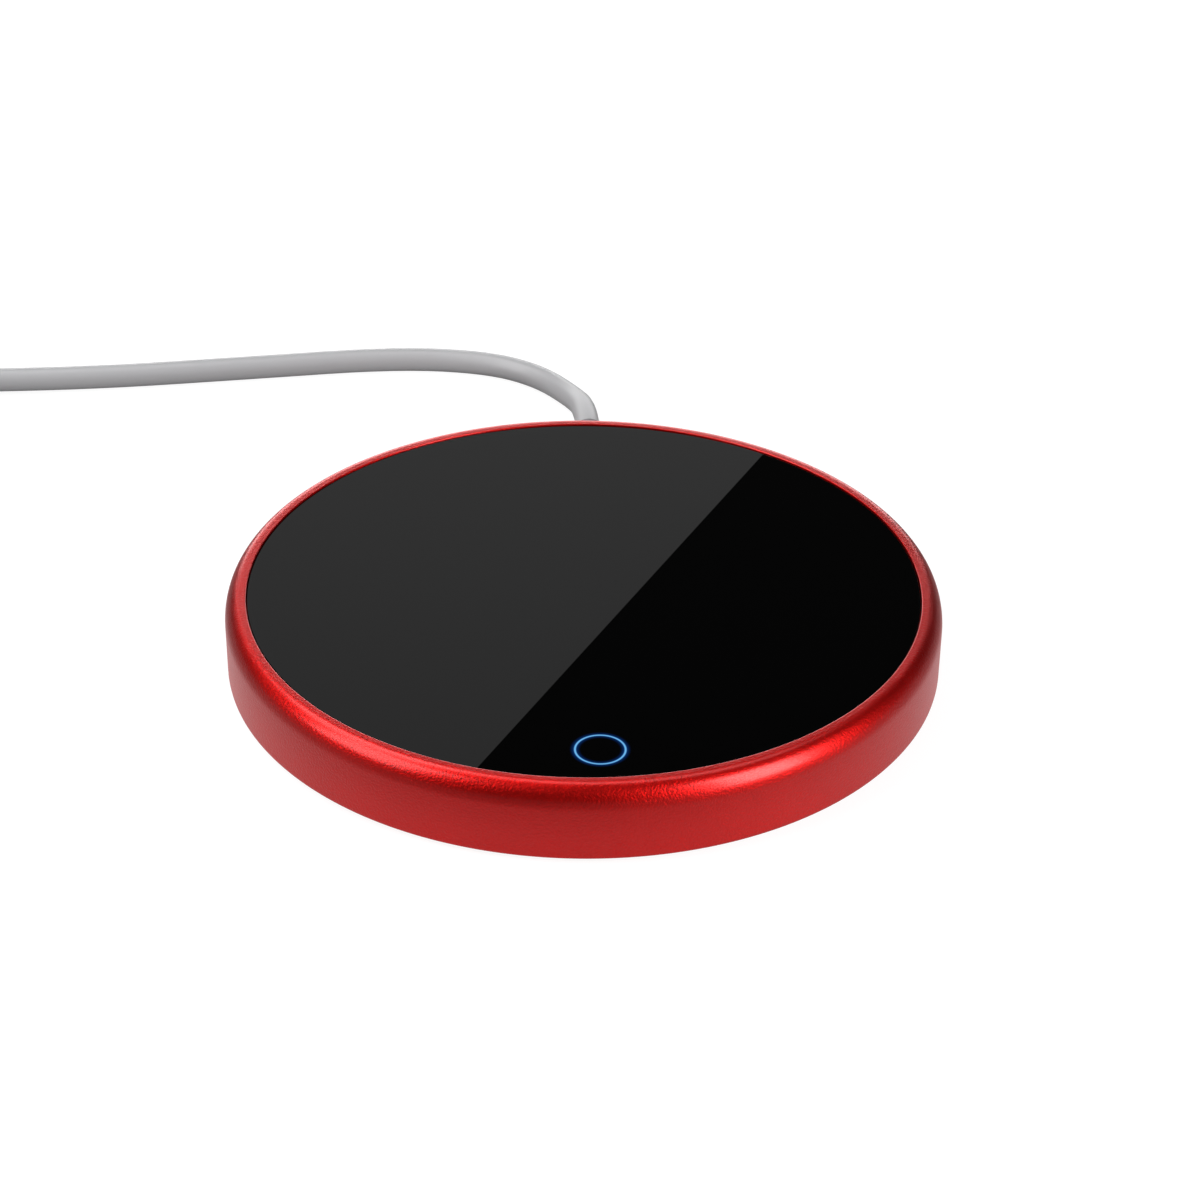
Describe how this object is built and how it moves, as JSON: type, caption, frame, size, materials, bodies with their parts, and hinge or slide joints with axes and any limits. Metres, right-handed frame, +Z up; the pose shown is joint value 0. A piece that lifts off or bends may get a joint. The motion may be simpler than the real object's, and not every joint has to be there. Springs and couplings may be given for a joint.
{
  "type": "electric mug warmer",
  "caption": "Round low mug warmer: metal ring housing, flat black glass hot plate with a lit touch ring, cable with plug at the back.",
  "frame": {"origin": "centre of the round housing on the surface that the feet stand on", "axes": "+Z up out of the glass, +Y towards the cable outlet at the back, -Y towards the lit touch ring at the front"},
  "size_m": [0.2248, 0.155, 0.0128],
  "materials": {
    "anodised_red": "bead-blasted, red anodised",
    "clear_glass": "polished",
    "black_print": "opaque ink",
    "blue_light": "lit from below",
    "black_adhesive": "silicone",
    "grey_silicone": "silicone",
    "bare_aluminium": "rolled sheet",
    "polyimide": "film",
    "ceramic_felt": "felt",
    "black_plastic": "fine spark texture",
    "steel": "zinc plated",
    "green_board": "solder mask",
    "lamp_body": "moulded",
    "clear_plastic": "frosted",
    "black_foam": "foam",
    "conductive_foam": "foam in woven wrap",
    "white_plastic": "moulded",
    "chip_black": "moulded epoxy",
    "ferrite_grey": "pressed",
    "capacitor_yellow": "moulded",
    "bead_glass": "glass bead",
    "tinned_copper": "tinned",
    "brown_phenolic": "moulded",
    "brass": "stamped",
    "spring_metal": "rolled strip",
    "black_rubber": "matte",
    "boot_grey": "satin",
    "cable_grey": "satin",
    "cable_grey_hard": "satin",
    "wire_red": "extruded",
    "tie_black": "matte",
    "plug_steel": "nickel plated",
    "gold_contact": "gold plated"
  },
  "bodies": {
    "warmer": {"housing_ring": "anodised_red", "glass_plate": "clear_glass", "glass_print": "black_print", "ring_window": "blue_light", "glass_adhesive": "black_adhesive", "thermal_bond": "grey_silicone", "heat_spreader": "bare_aluminium", "heater_film": "polyimide", "insulation_pad": "ceramic_felt", "inner_frame": "black_plastic", "frame_screws": "steel", "touch_board": "green_board", "indicator_lamps": "lamp_body", "light_guide": "clear_plastic", "light_blocker": "black_foam", "touch_pad": "conductive_foam", "touch_flex": "polyimide", "touch_connector": "white_plastic", "control_board": "green_board", "board_screws": "steel", "controller_chip": "chip_black", "power_transistors": "chip_black", "power_inductor": "ferrite_grey", "filter_capacitors": "capacitor_yellow", "chip_resistors": "chip_black", "wire_terminals": "white_plastic", "thermistor_bead": "bead_glass", "thermistor_leads": "tinned_copper", "heater_leads": "tinned_copper", "thermostat_case": "bare_aluminium", "thermostat_base": "brown_phenolic", "thermostat_terminals": "brass", "thermostat_leads": "tinned_copper", "base_cover": "black_plastic", "cover_screws": "steel", "rubber_feet": "black_rubber", "strain_relief": "boot_grey", "cord_entry": "cable_grey", "power_wires": "wire_red", "cable_clamp": "black_plastic", "clamp_screws": "steel", "cord_run": "cable_grey", "cord_coil": "cable_grey", "cord_tail": "cable_grey", "cord_tie": "tie_black", "plug_overmould": "cable_grey_hard", "plug_shell": "plug_steel", "plug_tongue": "white_plastic", "plug_contacts": "gold_contact"},
    "thermostat_blade": {"bimetal_blade": "spring_metal"}
  },
  "joints": [
    {"name": "blade_lift", "type": "hinge", "parent": "warmer", "child": "thermostat_blade", "pos_m": [-0.012, 0.0096, 0.00745], "axis": [1, 0, 0], "range_deg": [0, 3], "stiffness_Nm_per_rad": 0.02, "springref_deg": -1.15}
  ]
}
